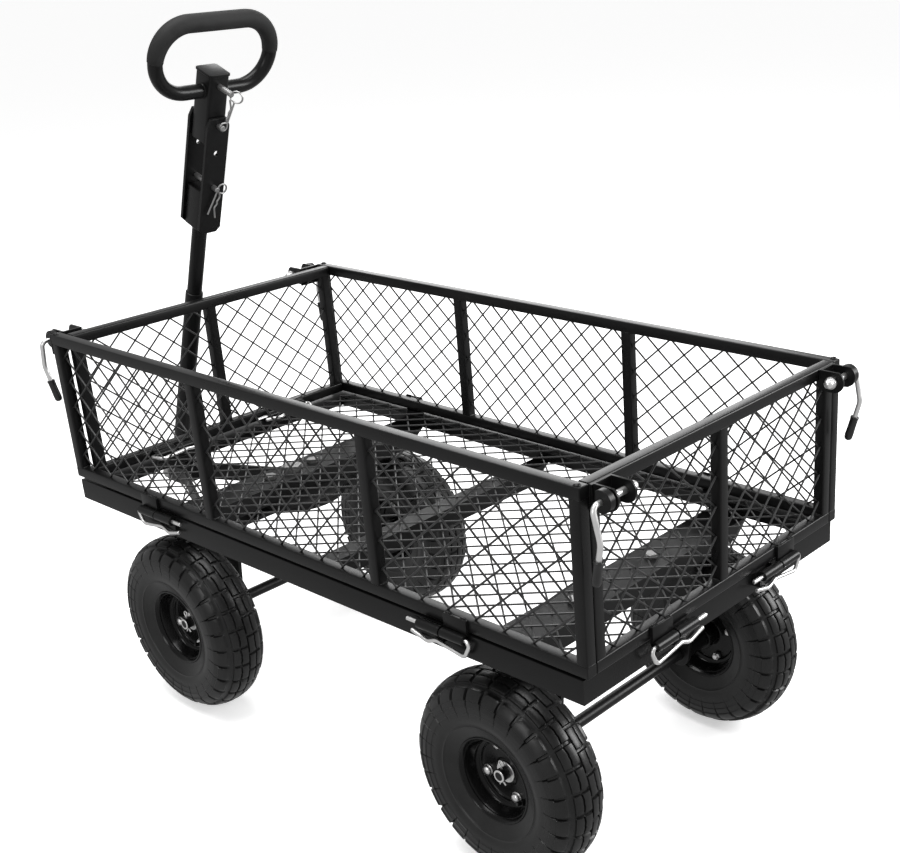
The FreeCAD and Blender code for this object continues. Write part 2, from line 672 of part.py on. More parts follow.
def head():
    shell = box(-17, 17, -16, 16, HEAD_LOW, CAP_TOP - 4)
    shell = shell.cut(box(-14.5, 14.5, -13.5, 13.5, HEAD_LOW - 1, CAP_TOP - 3))
    cap = box(-18, 18, -17.5, 17.5, CAP_TOP - 4, CAP_TOP)
    shell = fuse([shell, cap])
    shell = shell.cut(rod(V(-30, 0, HEAD_PIVOT), V(30, 0, HEAD_PIVOT), 4 + RUN))
    shell = shell.cut(rod(V(-30, 0, HITCH_PIN), V(30, 0, HITCH_PIN), 4))
    save("head_tube", lean(shell))
    start = V(0, 16, LOOP_LOW)
    save("handle_loop", lean(pipe(loop_path(16, False), start, Y, LOOP_R)))
    side = V(0, LOOP_FLAT + (LOOP_HIGH - LOOP_LOW) / 2, (LOOP_HIGH + LOOP_LOW) / 2)
    outer = pipe(loop_path(16, True), side, Z, GRIP_R)
    inner = pipe(loop_path(16, True), side, Z, LOOP_R)
    save("foam_grip", lean(outer.cut(inner)))
    pin = rod(V(-32, 0, HITCH_PIN), V(17, 0, HITCH_PIN), 4)
    pin = fuse([pin, rod(V(17, 0, HITCH_PIN), V(20, 0, HITCH_PIN), 7)])
    pin = pin.cut(rod(V(-27, -10, HITCH_PIN), V(-27, 10, HITCH_PIN), 2.0))
    save("hitch_pin", lean(pin))
    ring = Part.makeTorus(9.0, 1.2, V(-27, 0, HITCH_PIN - 8.5), X)
    save("hitch_pin_ring", lean(ring))


bed()
hinges()
sides()
latches()
for wheel_name, wheel_x in (("front", FRONT_AXLE_X), ("rear", -AXLE_X)):
    wheel(wheel_name + "_left", wheel_x, lambda s: s)
    wheel(wheel_name + "_right", wheel_x, mirror_y)
turntable()
steering()
handle()
head()
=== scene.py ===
import json
import math

import bmesh
import bpy
import numpy as np
from mathutils import Matrix, Vector


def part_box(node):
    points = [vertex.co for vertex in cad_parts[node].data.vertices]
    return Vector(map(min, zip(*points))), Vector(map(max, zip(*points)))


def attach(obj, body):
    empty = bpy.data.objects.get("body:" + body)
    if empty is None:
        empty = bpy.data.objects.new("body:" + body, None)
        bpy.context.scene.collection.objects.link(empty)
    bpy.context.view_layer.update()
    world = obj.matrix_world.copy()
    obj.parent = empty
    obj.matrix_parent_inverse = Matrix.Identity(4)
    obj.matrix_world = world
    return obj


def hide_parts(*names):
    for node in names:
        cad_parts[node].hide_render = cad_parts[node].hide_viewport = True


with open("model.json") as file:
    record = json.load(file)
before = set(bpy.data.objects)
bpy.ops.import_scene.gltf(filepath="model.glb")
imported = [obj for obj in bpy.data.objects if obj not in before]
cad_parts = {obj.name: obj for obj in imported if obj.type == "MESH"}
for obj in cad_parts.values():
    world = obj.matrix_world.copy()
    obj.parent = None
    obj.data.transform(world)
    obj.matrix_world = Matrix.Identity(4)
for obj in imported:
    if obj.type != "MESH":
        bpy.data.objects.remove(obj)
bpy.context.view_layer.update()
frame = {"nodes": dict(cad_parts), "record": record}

# A steel garden cart. Shapes are worked out in millimetres from the middle of the bed, +X to the pull
# handle, +Y to the left, z = 0 on the ground, and put into metres in the part's frame at the end.
BED_X = 500.0 * (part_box("bed_side_rails")[0].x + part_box("bed_side_rails")[1].x)
TAU = 2 * math.pi
HALF_L, HALF_W = 480.0, 245.0       # bed, half its length and width
SIDE_L, GATE_W = 486.5, 229.0       # folding sides and gates, half their lengths
SIDE_Z = (329.0, 543.0)
TUBE = 15.0                         # square tube of the sides
CELL = (41.0, 36.0)                 # mesh diamond
WIRE_R = 1.25
AXLES = {"front": 309.0, "rear": -320.0}
WHEEL_Y, TYRE_R = 205.0, 130.0
SIDE_HINGE = (278.0, 252.0, 322.0)  # barrel middles
REAR_HINGE = (-493.5, 104.0, 322.0)
FRONT_HINGE = (448.0, 104.0, 334.4)
LATCH = (506.0, 530.0)              # spindle of a corner latch, from the bed's middle and from the ground
LEVER_BEND = np.array([-514.0, 248.0, 492.0])
LEVER_END = np.array([-502.0, 243.0, 444.0])
BOLT_CIRCLE, RIM_BOLTS = 35.0, 4
PIN_Y = 216.5                       # split pins of the axles
PIVOT, LEAN = (620.5, 228.0), 21.5  # handle hinge and parked lean in degrees
LOOP_Z, LOOP_FLAT = (670.0, 767.5), 44.5
BODIES = frame["record"]["behaviour"]["bodies"]
BODY_OF = {node: body for body, nodes in BODIES.items() for node in nodes}


# ---------------------------------------------------------------- camera, light and floor
def camera():
    """The camera stands behind the cart's left rear corner and looks forward and down on it."""
    azimuth, elevation, roll = (math.radians(a) for a in (220.9, 22.53, -2.53))
    level = math.cos(elevation)
    back = Vector((math.sin(azimuth) * level, -math.cos(azimuth) * level, math.sin(elevation)))
    right = (-back).cross(Vector((0, 0, 1))).normalized()
    up = right.cross(-back)
    across = right * math.cos(roll) + up * math.sin(roll)
    upward = up * math.cos(roll) - right * math.sin(roll)
    cam = bpy.data.objects.new("camera", bpy.data.cameras.new("camera"))
    bpy.context.scene.collection.objects.link(cam)
    turn = Matrix((across, upward, back)).transposed().to_4x4()
    cam.matrix_world = Matrix.Translation(Vector((-1279.9 + BED_X, 1139.0, 1047.6)) / 1000) @ turn
    cam.data.sensor_width = 36.0
    cam.data.lens = 53.96
    cam.data.shift_x = -0.159
    cam.data.shift_y = 0.0588
    cam.data.clip_start, cam.data.clip_end = 0.05, 60.0
    bpy.context.scene.camera = cam


def soft_light(name, place, aim, size, power):
    """A square softbox at place, facing aim."""
    data = bpy.data.lights.new(name, "AREA")
    data.shape, data.size, data.energy = "SQUARE", size, power
    lamp = bpy.data.objects.new(name, data)
    bpy.context.scene.collection.objects.link(lamp)
    lamp.location = place
    lamp.rotation_mode = "QUATERNION"
    lamp.rotation_quaternion = (Vector(aim) - Vector(place)).to_track_quat("-Z", "Y")


def studio():
    """White room, large softboxes over the cart and a pale floor."""
    scene = bpy.context.scene
    scene.view_settings.view_transform = "Standard"
    world = bpy.data.worlds.new("studio")
    scene.world = world
    world.use_nodes = True
    sky = world.node_tree.nodes["Background"]
    sky.inputs["Color"].default_value = (1.0, 1.0, 1.0, 1.0)
    sky.inputs["Strength"].default_value = 0.52
    soft_light("overhead_softbox", (0.1, 0.2, 3.4), (0, 0, 0.3), 2.4, 105.0)
    soft_light("far_softbox", (2.5, -2.9, 1.9), (0, 0, 0.4), 2.2, 44.0)
    soft_light("left_softbox", (-0.6, 2.9, 1.7), (0, 0, 0.3), 1.0, 16.0)
    soft_light("rear_softbox", (-2.1, -1.8, 1.35), (-0.3, 0.1, 0.2), 1.3, 62.0)
    side = 30.0
    mesh = bpy.data.meshes.new("floor")
    corners = [(-side, -side, 0), (side, -side, 0), (side, side, 0), (-side, side, 0)]
    mesh.from_pydata(corners, [], [(0, 1, 2, 3)])
    floor = bpy.data.objects.new("floor", mesh)
    scene.collection.objects.link(floor)
    pale = bpy.data.materials.new("pale_floor")
    pale.use_nodes = True
    shader = pale.node_tree.nodes["Principled BSDF"]
    shader.inputs["Base Color"].default_value = (0.93, 0.93, 0.93, 1)
    shader.inputs["Roughness"].default_value = 0.9
    shader.inputs["Specular IOR Level"].default_value = 0.1
    shader.inputs["Emission Color"].default_value = (1, 1, 1, 1)
    shader.inputs["Emission Strength"].default_value = 0.48
    mesh.materials.append(pale)
    floor.visible_glossy = False


# ---------------------------------------------------------------- shader maths
class Sig:
    """A shader socket or a number that takes part in Python arithmetic."""

    def __init__(self, tree, value):
        self.tree, self.value = tree, value

    def _math(self, operation, *others):
        node = self.tree.nodes.new("ShaderNodeMath")
        node.operation = operation
        for socket, item in zip(node.inputs, (self, *others)):
            item = item.value if isinstance(item, Sig) else item
            if isinstance(item, (int, float)):
                socket.default_value = item
            else:
                self.tree.links.new(item, socket)
        return Sig(self.tree, node.outputs[0])

    def __add__(self, other): return self._math("ADD", other)
    def __radd__(self, other): return self._math("ADD", other)
    def __sub__(self, other): return self._math("SUBTRACT", other)
    def __rsub__(self, other): return Sig(self.tree, other)._math("SUBTRACT", self)
    def __mul__(self, other): return self._math("MULTIPLY", other)
    def __rmul__(self, other): return self._math("MULTIPLY", other)
    def clamp(self): return self._math("MAXIMUM", 0.0)._math("MINIMUM", 1.0)
    def step(self, low, high): return ((self - low) * (1.0 / (high - low))).clamp()


class Finish:
    """A node material: noise fields on Object coordinates
    in metres, mixed into colour, roughness and bump."""

    def __init__(self, name):
        self.material = bpy.data.materials.new(name)
        self.material.use_nodes = True
        self.tree = self.material.node_tree
        self.shader = self.tree.nodes["Principled BSDF"]
        self.place = self.node("ShaderNodeTexCoord").outputs["Object"]

    def node(self, kind, settings=None, sockets=None):
        """One node: settings are set first, then the values or links of its sockets."""
        made = self.tree.nodes.new(kind)
        for key, value in (settings or {}).items():
            setattr(made, key, value)
        for key, value in (sockets or {}).items():
            value = value.value if isinstance(value, Sig) else value
            if isinstance(value, bpy.types.NodeSocket):
                self.tree.links.new(value, made.inputs[key])
            else:
                made.inputs[key].default_value = value
        return made

    def noise(self, per_metre, detail=3.0, rough=0.55):
        """Fractal noise from 0 to 1 at so many waves per metre."""
        made = self.node("ShaderNodeTexNoise", None,
                         {"Vector": self.place, "Scale": per_metre, "Detail": detail, "Roughness": rough})
        return Sig(self.tree, made.outputs[0])

    def cells(self, per_metre):
        """Distance in a field of scattered cells."""
        made = self.node("ShaderNodeTexVoronoi", None, {"Vector": self.place, "Scale": per_metre})
        return Sig(self.tree, made.outputs["Distance"])

    def facing_up(self):
        """1 on faces that look straight up, 0 on walls."""
        normal = self.node("ShaderNodeNewGeometry").outputs["Normal"]
        parts = self.node("ShaderNodeSeparateXYZ", None, {"Vector": normal})
        return Sig(self.tree, parts.outputs["Z"]).clamp()

    def blend(self, amount, low, high):
        """Colour between low and high."""
        low, high = ((*c, 1) if isinstance(c, tuple) else c for c in (low, high))
        return self.node("ShaderNodeMix", {"data_type": "RGBA"}, {0: amount, 6: low, 7: high}).outputs[2]

    def bump(self, height, depth_mm, after=None):
        sockets = {"Height": height, "Strength": 1.0, "Distance": depth_mm / 1000}
        if after is not None:
            sockets["Normal"] = after
        return self.node("ShaderNodeBump", None, sockets).outputs[0]

    def surface(self, **sockets):
        for key, value in sockets.items():
            socket = self.shader.inputs[key.replace("_", " ")]
            value = value.value if isinstance(value, Sig) else value
            if isinstance(value, bpy.types.NodeSocket):
                self.tree.links.new(value, socket)
            else:
                socket.default_value = value
        return self.material


def grey(v, tint=0.0):
    return (v, v, v * (1 + tint))


def powder_coat(name, shade, gloss, shine=0.22):
    """Semi-gloss baked powder: fine orange peel, faint
    cloudiness, and lighter patches on top faces: a painted sheen with a trace of dust."""
    f = Finish(name)
    cloud = f.noise(9.0, 3.0)
    peel_field = f.noise(620.0, 2.0) * 0.7 + f.noise(1900.0, 1.0) * 0.3
    # painted sheen with dust: upward faces get lighter patches (a painted highlight) and a rougher finish
    dust_and_sheen = (f.noise(70.0, 5.0, 0.65).step(0.45, 0.85) * f.facing_up()) * 0.5
    base = f.blend(cloud.step(0.3, 0.7), grey(shade * 0.8), grey(shade * 1.25, 0.03))
    colour = f.blend(dust_and_sheen * 0.35, base, grey(shade * 2.6))
    rough = (cloud.step(0.25, 0.75) * 0.09 + gloss) + dust_and_sheen * 0.10
    return f.surface(Base_Color=colour, Roughness=rough.clamp(), Normal=f.bump(peel_field, 0.05),
                     Specular_IOR_Level=shine)


def rubber(name, shade):
    """Moulded tyre rubber: matte, with blotches of lighter, rougher wear and a fine grain."""
    f = Finish(name)
    grain = f.noise(900.0, 3.0, 0.6)
    wear = f.noise(28.0, 4.0, 0.6).step(0.35, 0.7)
    colour = f.blend(wear, grey(shade * 0.8), grey(shade * 1.35))
    rough = wear * 0.12 + 0.30
    return f.surface(Base_Color=colour, Roughness=rough, Normal=f.bump(grain, 0.08), Specular_IOR_Level=0.36)


def zinc(name, shade, rough_low):
    """Bright zinc plate: metal with faint cloudy spangle and drawing lines."""
    f = Finish(name)
    spangle = f.cells(420.0).step(0.1, 0.8)
    cloud = f.noise(60.0, 4.0)
    colour = f.blend(cloud.step(0.3, 0.7), grey(shade * 0.86), (shade * 1.02, shade * 1.01, shade))
    rough = (cloud * 0.16 + rough_low) + spangle * 0.05
    return f.surface(Base_Color=colour, Metallic=1.0, Roughness=rough.clamp(),
                     Normal=f.bump(f.noise(1100.0, 2.0), 0.03))


def dipped_vinyl(name):
    """Satin black dipped vinyl with soft waves from the dipping."""
    f = Finish(name)
    wave = f.noise(140.0, 2.0)
    colour = f.blend(wave, grey(0.005), grey(0.009))
    return f.surface(Base_Color=colour, Roughness=wave * 0.1 + 0.34, Normal=f.bump(wave, 0.25),
                     Specular_IOR_Level=0.5)


def foam(name):
    """Closed-cell foam: fine pores, matte skin."""
    f = Finish(name)
    pores = f.cells(1500.0).step(0.0, 0.7)
    soft = f.noise(45.0, 4.0)
    colour = f.blend(soft.step(0.3, 0.7), grey(0.006), grey(0.011))
    return f.surface(Base_Color=colour, Roughness=soft * 0.08 + 0.62,
                     Normal=f.bump(f.noise(60.0, 3.0), 0.35, f.bump(pores, 0.12)), Specular_IOR_Level=0.35)


# ---------------------------------------------------------------- surfaces
def grids_to_mesh(name, grids, smooth_angle=38.0):
    """One mesh from sheets of points. Each sheet is (points, wrap_u, wrap_v, cap): points has
    the shape (k, nu, nv, 3) for k like surfaces, each point is joined to the next along u and
    v, wrapping where asked, and cap "u" or "v" closes both ends of that parameter with a flat
    face. The signed volume, a third of the sum of a . (b x c) / 2 over the triangles, tells
    which way a closed sheet faces, and a sheet that faces inwards is turned over."""
    corners, faces, base = [], [], 0
    for points, wrap_u, wrap_v, cap in grids:
        points = np.asarray(points, float)
        points = points[None] if points.ndim == 3 else points
        k, nu, nv, _ = points.shape
        index = np.arange(k * nu * nv).reshape(k, nu, nv)
        a = index if wrap_u else index[:, :-1]
        b = np.roll(index, -1, 1) if wrap_u else index[:, 1:]
        if wrap_v:
            c, d = np.roll(a, -1, 2), np.roll(b, -1, 2)
        else:
            a, b, c, d = a[:, :, :-1], b[:, :, :-1], a[:, :, 1:], b[:, :, 1:]
        sets = [np.stack([a, b, d, c], -1).reshape(-1, 4)]
        if cap == "u":
            sets += [index[:, 0], index[:, -1, ::-1]]
        if cap == "v":
            sets += [index[:, ::-1, 0], index[:, :, -1]]
        flat = points.reshape(-1, 3)
        about = flat - flat.mean(0)
        volume = 0.0
        for polygons in sets:
            p = about[polygons]
            volume += np.einsum("ki,kji->", p[:, 0], np.cross(p[:, 1:-1], p[:, 2:]))
        turn = -1 if volume < 0 else 1
        for polygons in sets:
            faces += (polygons[:, ::turn] + base).tolist()
        corners.append(flat)
        base += len(flat)
    mesh = bpy.data.meshes.new(name)
    corners = (np.concatenate(corners) + (BED_X, 0.0, 0.0)) / 1000.0
    mesh.from_pydata(corners, [], faces)
    mesh.polygons.foreach_set("use_smooth", np.ones(len(mesh.polygons), bool))
    mesh.set_sharp_from_angle(angle=math.radians(smooth_angle))
    return mesh


def piece(name, grids, material, body, slot, *nodes, smooth_angle=38.0):
    """A finished piece that rides on a body and stands for the nodes named."""
    thing = bpy.data.objects.new(name, grids_to_mesh(name, grids, smooth_angle))
    return dress(thing, material, body, slot, *nodes)


def dress(thing, material, body, slot, *nodes):
    bpy.context.scene.collection.objects.link(thing)
    thing.data.materials.clear()
    thing.data.materials.append(material)
    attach(thing, body)
    if nodes:
        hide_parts(*nodes)
    return thing


def softened(name, node, material, slot, edge=0.7):
    """A plate or block with its sharp edges rounded: the
    solid's own faces, merged, with a bevel of two steps."""
    mesh = frame["nodes"][node].data.copy()
    work = bmesh.new()
    work.from_mesh(mesh)
    bmesh.ops.remove_doubles(work, verts=work.verts, dist=1e-6)
    bmesh.ops.dissolve_limit(work, angle_limit=math.radians(1.0), verts=work.verts, edges=work.edges)
    for face in work.faces:
        face.smooth = True
    work.to_mesh(mesh)
    work.free()
    mesh.set_sharp_from_angle(angle=math.radians(38.0))
    thing = dress(bpy.data.objects.new(name, mesh), material, BODY_OF[node], slot, node)
    bevel = thing.modifiers.new("edges", "BEVEL")
    bevel.width, bevel.segments, bevel.limit_method = edge / 1000, 2, "ANGLE"
    bevel.angle_limit, bevel.use_clamp_overlap, bevel.harden_normals = math.radians(40.0), True, True
    return thing


def mirrored(grids, axis):
    """The same sheets on the other side of the middle plane across an axis."""
    flip = np.ones(3)
    flip[axis] = -1.0
    return [(np.asarray(p, float) * flip, a, b, c) for p, a, b, c in grids]


def leaned(grids):
    """Handle sheets from the upright drawing frame to
    the parked lean, a turn about the handle's hinge."""
    tilt = math.radians(LEAN)
    out = []
    for p, a, b, c in grids:
        p = np.asarray(p, float)
        x = PIVOT[0] + p[..., 0] * math.cos(tilt) - p[..., 2] * math.sin(tilt)
        z = PIVOT[1] + p[..., 2] * math.cos(tilt) + p[..., 0] * math.sin(tilt)
        out.append((np.stack([x, p[..., 1], z], -1), a, b, c))
    return out


def unit(v):
    return v / np.linalg.norm(v, axis=-1, keepdims=True)


def rounded(points, radii, steps=7):
    """Straight legs whose corners are arcs: each centre lies on the corner's bisector, r
    / sin(half the corner) away, and the arc's points are a slerp between its two ends."""
    p = np.asarray(points, float)
    out = [p[:1]]
    share = np.linspace(0, 1, steps)[:, None]
    for before, at, after, r in zip(p, p[1:], p[2:], radii):
        u, v = unit(before - at), unit(after - at)
        half = 0.5 * math.acos(float(np.clip(u @ v, -1, 1)))
        centre = at + unit(u + v) * r / math.sin(half)
        first, last = at + u * r / math.tan(half) - centre, at + v * r / math.tan(half) - centre
        turn = math.pi - 2 * half
        arc = np.sin((1 - share) * turn) * first + np.sin(share * turn) * last
        out.append(centre + arc / math.sin(turn))
    return np.concatenate(out + [p[-1:]])


def swept(path, profile, across, shut=False, scale=None):
    """A profile of (side, rise) points carried along a path: side is tangent x across and
    rise is side x tangent. The tangent at a corner halves the turn between its two legs."""
    path = np.asarray(path, float)
    legs = unit(np.roll(path, -1, 0) - path)
    if not shut:
        legs[-1] = legs[-2]
    back = np.roll(legs, 1, 0)
    if not shut:
        back[0] = legs[0]
    ahead = unit(legs + back)
    side = unit(np.cross(ahead, np.broadcast_to(across, ahead.shape)))
    rise = np.cross(side, ahead)
    scale = np.ones(len(path)) if scale is None else np.asarray(scale, float)
    ring = np.asarray(profile, float)[None] * scale[:, None, None]
    points = path[:, None] + ring[..., :1] * side[:, None] + ring[..., 1:] * rise[:, None]
    return (points, shut, True, "" if shut else "u")


def circle(r, n=16):
    """n points on a circle of radius r."""
    a = np.arange(n) * TAU / n
    return np.stack([r * np.cos(a), r * np.sin(a)], 1)


def rounded_box(w, h, r, n=4):
    """A rectangle of w by h with corners of radius r, n points on each."""
    a = np.radians(np.linspace(0, 90, n)[None] + 90 * np.arange(4)[:, None])
    middle = np.array([(1, 1), (-1, 1), (-1, -1), (1, -1)]) * (w / 2 - r, h / 2 - r)
    return (middle[:, None] + r * np.stack([np.cos(a), np.sin(a)], -1)).reshape(-1, 2)


def wire(path, r, across, n=12, tip=0.5):
    """A round wire along a path, its two ends chamfered by tip."""
    path = np.asarray(path, float)
    first, last = unit(path[1] - path[0]) * tip, unit(path[-2] - path[-1]) * tip
    path = np.concatenate([path[:1], path[:1] + first, path[1:-1], path[-1:] + last, path[-1:]])
    scale = np.ones(len(path))
    scale[0] = scale[-1] = 1 - tip / r
    return swept(path, circle(r, n), across, scale=scale)




def bar(a, b, w, h, r, across=(0, 0, 1), bevel=0.6):
    """A bar of rounded rectangular section from a to b; h is measured along across."""
    a, b = np.asarray(a, float), np.asarray(b, float)
    length = np.linalg.norm(b - a)
    path = a + (b - a) / length * np.array([0, bevel, length - bevel, length])[:, None]
    small = 1 - 2 * bevel / max(w, h)
    return swept(path, rounded_box(w, h, r), across, scale=[small, 1, 1, small])


def lathe(centre, axis, outline, n=48, solid=False):
    """Points (radius, along) spun about an axis: centre + radius * (cos a
    side + sin a rise) + along * axis. A ring is a closed outline; a solid
    starts and ends near the axis and is closed there by small discs."""
    axis = unit(np.asarray(axis, float))
    mark = (1.0, 0.0, 0.0) if abs(axis[2]) > 0.9 else (0.0, 0.0, 1.0)
    side = unit(np.cross(axis, mark))
    rise = np.cross(axis, side)
    a = np.arange(n) * TAU / n
    spoke = np.cos(a)[:, None] * side + np.sin(a)[:, None] * rise
    outline = np.asarray(outline, float)
    points = np.asarray(centre, float) + outline[None, :, :1] * spoke[:, None] + outline[None, :, 1:] * axis
    return (points, True, not solid, "v" if solid else "")


def sleeve(centre, axis, r_out, r_in, low, high, n=32, bevel=0.5):
    """A short tube from low to high along an axis, chamfered at its rims."""
    outline = [(r_in, low), (r_out - bevel, low), (r_out, low + bevel), (r_out, high - bevel),
               (r_out - bevel, high), (r_in, high)]
    return lathe(centre, axis, outline, n)


def hex_head(centre, axis, across_corners, height):
    """A hexagon head: six sides with a domed chamfer on top and a small one below."""
    axis = unit(np.asarray(axis, float))
    mark = (0, 0, 1) if abs(axis[2]) < 0.9 else (1, 0, 0)
    path = np.asarray(centre, float) + axis * (height * np.array([0, 0.1, 0.82, 1.0]))[:, None]
    return swept(path, circle(across_corners / 2, 6), mark, scale=[0.94, 1, 1, 0.84])


def bead(a, b, r):
    """A weld bead: a round run whose radius ripples with the welder's steps."""
    a, b = np.asarray(a, float), np.asarray(b, float)
    n = max(6, int(np.linalg.norm(b - a) / 0.75))
    share = np.linspace(0, 1, n)
    ripple = 1 + 0.12 * np.sin(share * n * 1.9) + 0.06 * np.sin(share * n * 0.7 + 1)
    ripple[[0, -1]] *= 0.5
    across = (0.57, 0.57, 0.59)         # no weld runs along this line
    return swept(a + (b - a) * share[:, None], circle(r, 8), across, scale=ripple)


# ---------------------------------------------------------------- bed
def angle_frame():
    """The angle-iron ring round the bed: an L profile of (inset, height)
    points at the four mitred corners, where a point's corner is (half length
    - inset, half width - inset). The flange of the front end is 19 wider."""
    outline = np.array([(0.5, 296), (0, 296.5), (0, 324.4), (0.5, 325.5), (1.6, 326), (24.5, 326),
                        (25, 325.5), (25, 324), (24.5, 323.5), (5, 323.5), (3.3, 322.8), (2.5, 321),
                        (2.5, 296.5), (2, 296)])
    ends = np.array([(1, 1), (-1, 1), (-1, -1), (1, -1)])
    inset = np.broadcast_to(outline[None, :, :1], (4, len(outline), 2)).copy()
    inset[..., 0] += 19.0 * (ends[:, :1] > 0) * (outline[None, :, 0] > 20)
    flat = ends[:, None] * (np.array([HALF_L, HALF_W]) - inset)
    points = np.concatenate([flat, np.broadcast_to(outline[None, :, 1:], (4, len(outline), 1))], -1)
    return [(points, True, True, "")]


def diamond_wires(corner, along, up, length, height):
    """Two families of straight wires over a bay, in cell units p = along
    / cell and q = up / cell: p - q = k + 1/2 and p + q = k + 1/2, cut at
    the bay's edges, one family lying on the other where they cross."""
    corner, along, up = (np.asarray(v, float) for v in (corner, along, up))
    out = np.cross(along, up)
    columns, rows = max(1, round(length / CELL[0])), max(1, round(height / CELL[1]))
    step = np.array([length / columns, height / rows])
    rising = np.arange(-rows, columns) + 0.5
    falling = np.arange(0, columns + rows) + 0.5
    p0 = np.concatenate([np.maximum(0, rising), np.maximum(0, falling - rows)])
    p1 = np.concatenate([np.minimum(columns, rows + rising), np.minimum(columns, falling)])
    q0 = np.concatenate([p0[:len(rising)] - rising, falling - p0[len(rising):]])
    q1 = np.concatenate([p1[:len(rising)] - rising, falling - p1[len(rising):]])
    lift = 0.8 * WIRE_R * np.concatenate([np.ones(len(rising)), -np.ones(len(falling))])

    def at(p, q):
        return corner + (p * step[0])[:, None] * along + (q * step[1])[:, None] * up + lift[:, None] * out
    a, b = at(p0, q0), at(p1, q1)
    ahead = unit(b - a)
    side = np.cross(ahead, out)
    ring = circle(WIRE_R, 8)
    spokes = ring[:, :1] * side[:, None] + ring[:, 1:] * out
    return [(np.stack([a, b], 1)[:, :, None] + spokes[:, None], False, True, "u")]


def hinge_spots():
    """Each hinge: its kind, barrel middle, direction from the pin's bend to its tip, outward and down."""
    out = []
    for sx in (1, -1):
        for sy in (1, -1):
            out.append(("side", (sx, sy, 1) * np.array(SIDE_HINGE), (-sx, 0, 0), (0, sy, 0), (0, 0, -1)))
    for sy in (1, -1):
        out.append(("rear", (1, sy, 1) * np.array(REAR_HINGE), (0, -sy, 0), (-1, 0, 0), (0, 0, -1)))
        out.append(("front", (1, sy, 1) * np.array(FRONT_HINGE), (0, -sy, 0), (-1, 0, 0), (-1, 0, 0)))
    return [(kind, *(np.asarray(v, float) for v in rest)) for kind, *rest in out]


def hairpin(origin, along, down):
    """Bent wire pin: a straight leg through both barrels,
    an eye-like bend and a wavy leg back below it."""
    shape = [(56, 0), (-46, 0), (-35, 21), (10, 14), (24, 20), (50, 13)]
    path = rounded([origin + along * s + down * t for s, t in shape], [5, 7, 12, 12])
    return wire(path, 2.5, np.cross(along, down), 12, 0.8)


def panel_barrels(kinds, side=None):
    """The barrels and lugs on one side or gate, on the bend side of each hinge."""
    grids = []
    for kind, origin, along, out, down in hinge_spots():
        if kind != kinds or (side is not None and origin[1] * side < 0):
            continue
        grids.append(sleeve(origin, along, 6, 2.6, -37, -1))
        middle = origin - along * 19
        if kind == "front":
            grids.append(bar(middle - along * 18 + (4, 0, 4), middle + along * 18 + (4, 0, 4), 6, 8, 0.8))
        else:
            up = np.array([0, 0, 1.0])
            plate = middle - out * 4.95 + up * 11.5
            grids.append(bar(plate - along * 18, plate + along * 18, 3.8, 23, 0.9))
            top = middle - out * 6.2 + up * 23
            grids += [bead(top + along * s, top + along * (s + 9), 1.3) for s in (-16, 7)]
    return grids


# ---------------------------------------------------------------- folding sides
def tube(a, b, across=(0, 0, 1)):
    return bar(a, b, TUBE, TUBE, 1.9, across, 0.7)


def side_panel(sign):
    """Long side: top and bottom rail, four posts, weld beads
    in the corners and small bolts on the top corners."""
    y = sign * (HALF_W - TUBE / 2)
    low, high = SIDE_Z[0] + TUBE / 2, SIDE_Z[1] - TUBE / 2
    grids = [tube((-SIDE_L, y, z), (SIDE_L, y, z)) for z in (low, high)]
    for x in (-SIDE_L + TUBE / 2, -SIDE_L / 3, SIDE_L / 3, SIDE_L - TUBE / 2):
        grids.append(tube((x, y, low + TUBE / 2 - 1), (x, y, high - TUBE / 2 + 1), (0, 1, 0)))
        for edge in (-TUBE / 2, TUBE / 2):
            for z in (low + TUBE / 2, high - TUBE / 2):
                if abs(x + edge) < SIDE_L - 1:
                    grids.append(bead((x + edge, y - 6, z), (x + edge, y + 6, z), 1.5))
    dome = [(0.4, -0.5), (4.2, -0.5), (4.2, 0.3), (3.5, 1.4), (1.9, 2.1), (0.4, 2.2)]
    grids += [lathe((x, sign * 240, SIDE_Z[1]), (0, 0, 1), dome, 24, True) for x in (-480, 480)]
    return grids + panel_barrels("side", sign)


def side_wires(sign):
    """The three mesh bays of a long side."""
    y = sign * (HALF_W - TUBE / 2)
    pitch, tall = 2 * SIDE_L / 3, SIDE_Z[1] - SIDE_Z[0] - 2 * TUBE
    grids = []
    for x0, x1 in ((-SIDE_L + TUBE, -pitch / 2 - TUBE / 2), (-pitch / 2 + TUBE / 2, pitch / 2 - TUBE / 2),
                   (pitch / 2 + TUBE / 2, SIDE_L - TUBE)):
        grids += diamond_wires((x0, y, SIDE_Z[0] + TUBE), (1, 0, 0), (0, 0, 1), x1 - x0, tall)
    return grids


def gate_panel(x, kind):
    """End gate: two rails, three posts and weld beads."""
    low, high = SIDE_Z[0] + TUBE / 2, SIDE_Z[1] - TUBE / 2
    grids = [tube((x, -GATE_W, z), (x, GATE_W, z)) for z in (low, high)]
    for y in (-GATE_W + TUBE / 2, 0, GATE_W - TUBE / 2):
        grids.append(tube((x, y, low + TUBE / 2 - 1), (x, y, high - TUBE / 2 + 1), (1, 0, 0)))
        for edge in (-TUBE / 2, TUBE / 2):
            for z in (low + TUBE / 2, high - TUBE / 2):
                if abs(y + edge) < GATE_W - 1:
                    grids.append(bead((x - 6, y + edge, z), (x + 6, y + edge, z), 1.5))
    return grids + panel_barrels(kind)


def gate_wires(x):
    """The two mesh bays of a gate."""
    tall = SIDE_Z[1] - SIDE_Z[0] - 2 * TUBE
    return [g for y0, y1 in ((-GATE_W + TUBE, -TUBE / 2), (TUBE / 2, GATE_W - TUBE))
            for g in diamond_wires((x, y0, SIDE_Z[0] + TUBE), (0, 1, 0), (0, 0, 1), y1 - y0, tall)]


